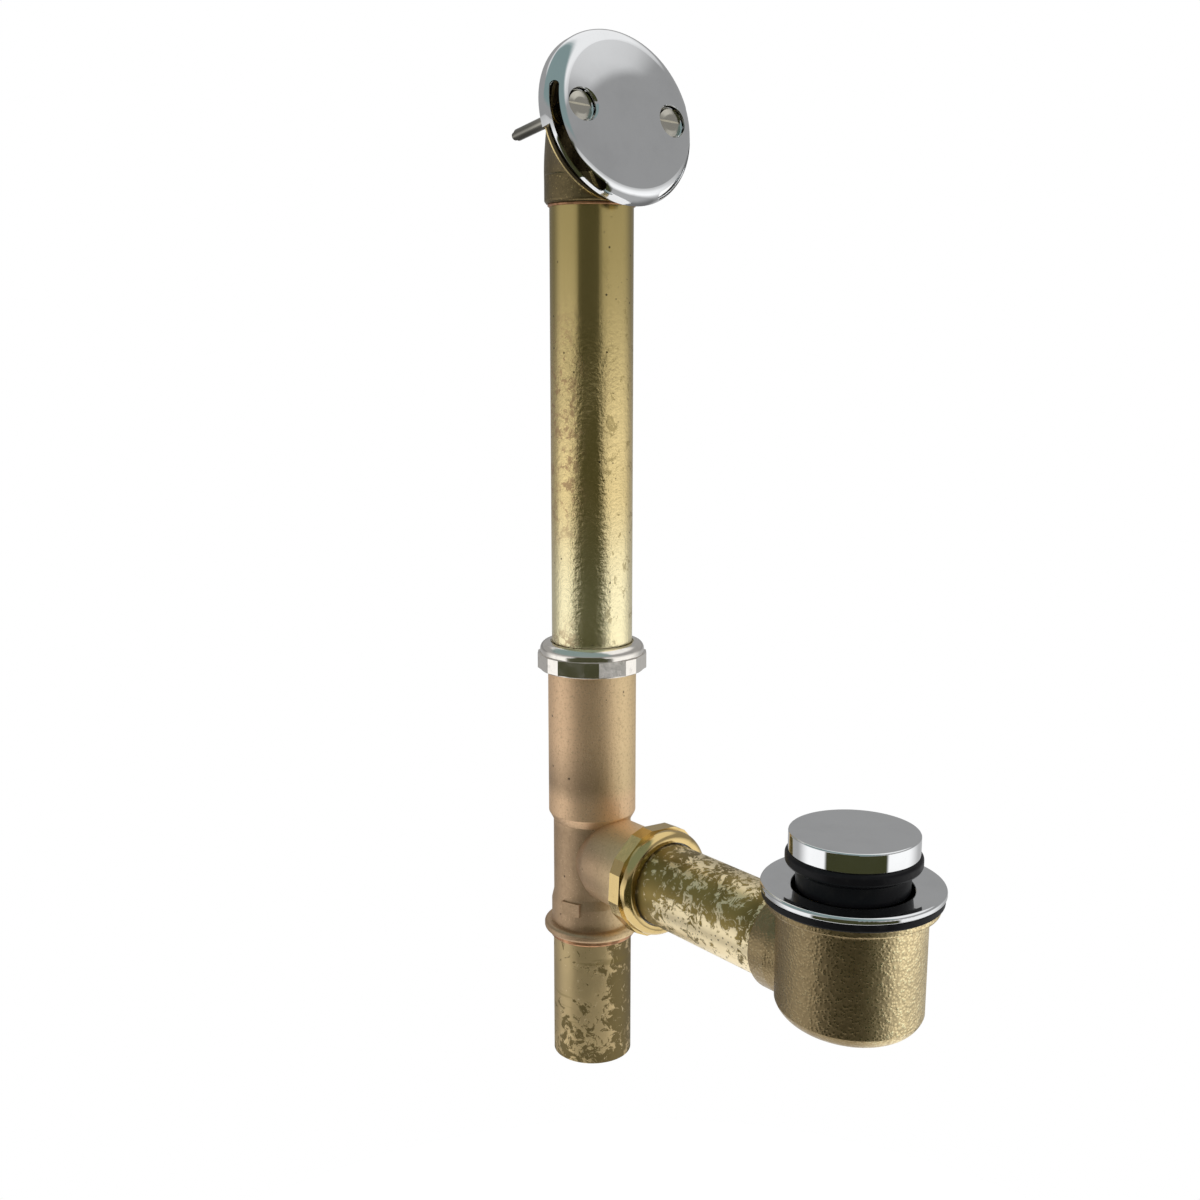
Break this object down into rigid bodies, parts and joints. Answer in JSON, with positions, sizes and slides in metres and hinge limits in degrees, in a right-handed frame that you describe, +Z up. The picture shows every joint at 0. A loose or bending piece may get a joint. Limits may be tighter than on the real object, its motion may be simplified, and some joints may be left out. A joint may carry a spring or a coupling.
{
  "type": "bath waste and overflow",
  "caption": "Brass bath waste and overflow with a chromed overflow plate, slip joint tee, tailpiece, drain shoe and a spring toe-touch stopper.",
  "frame": {"origin": "centre of the tailpiece's lower end", "axes": "+Z up along the tailpiece, the tee and the overflow tube; +X along the waste arm towards the drain"},
  "size_m": [0.2306, 0.0788, 0.4818],
  "materials": {
    "chrome_plate": "polished",
    "screw_metal": "satin",
    "cast_bronze": "shot-blasted casting",
    "sand_cast_brass": "coarse sand casting",
    "copper_braze": "brazed",
    "drawn_brass": "tarnished tube",
    "nickel_nut": "nickel plated",
    "yellow_nut": "yellow passivated",
    "post_brass": "machined",
    "spring_steel": "bright",
    "ring_plastic": "matt",
    "washer_rubber": "matt",
    "seal_rubber": "smooth"
  },
  "bodies": {
    "waste": {"overflow_plate": "chrome_plate", "overflow_screw_left": "screw_metal", "overflow_screw_right": "screw_metal", "overflow_elbow": "cast_bronze", "elbow_solder_ring": "copper_braze", "overflow_tube": "drawn_brass", "upper_slip_nut": "nickel_nut", "upper_friction_ring": "ring_plastic", "upper_slip_washer": "washer_rubber", "waste_tee": "cast_bronze", "tailpiece": "drawn_brass", "tailpiece_braze_ring": "copper_braze", "arm_slip_nut": "yellow_nut", "arm_friction_ring": "ring_plastic", "arm_slip_washer": "washer_rubber", "waste_arm": "drawn_brass", "waste_shoe": "sand_cast_brass", "drain_gasket": "seal_rubber", "drain_strainer": "chrome_plate", "stopper_post": "post_brass", "post_lock_nut": "post_brass", "stopper_spring": "spring_steel"},
    "stopper": {"stopper_cap": "chrome_plate", "stopper_seal": "seal_rubber", "seal_retainer": "post_brass", "stopper_barrel": "post_brass", "barrel_bush": "ring_plastic", "stopper_latch_ring": "ring_plastic"}
  },
  "joints": [
    {"name": "stopper_press", "type": "slide", "parent": "waste", "child": "stopper", "axis": [0, 0, 1], "range_m": [-0.008, 0], "stiffness_N_per_m": 900, "springref_m": 0.006, "deforming": ["stopper_spring"]}
  ]
}
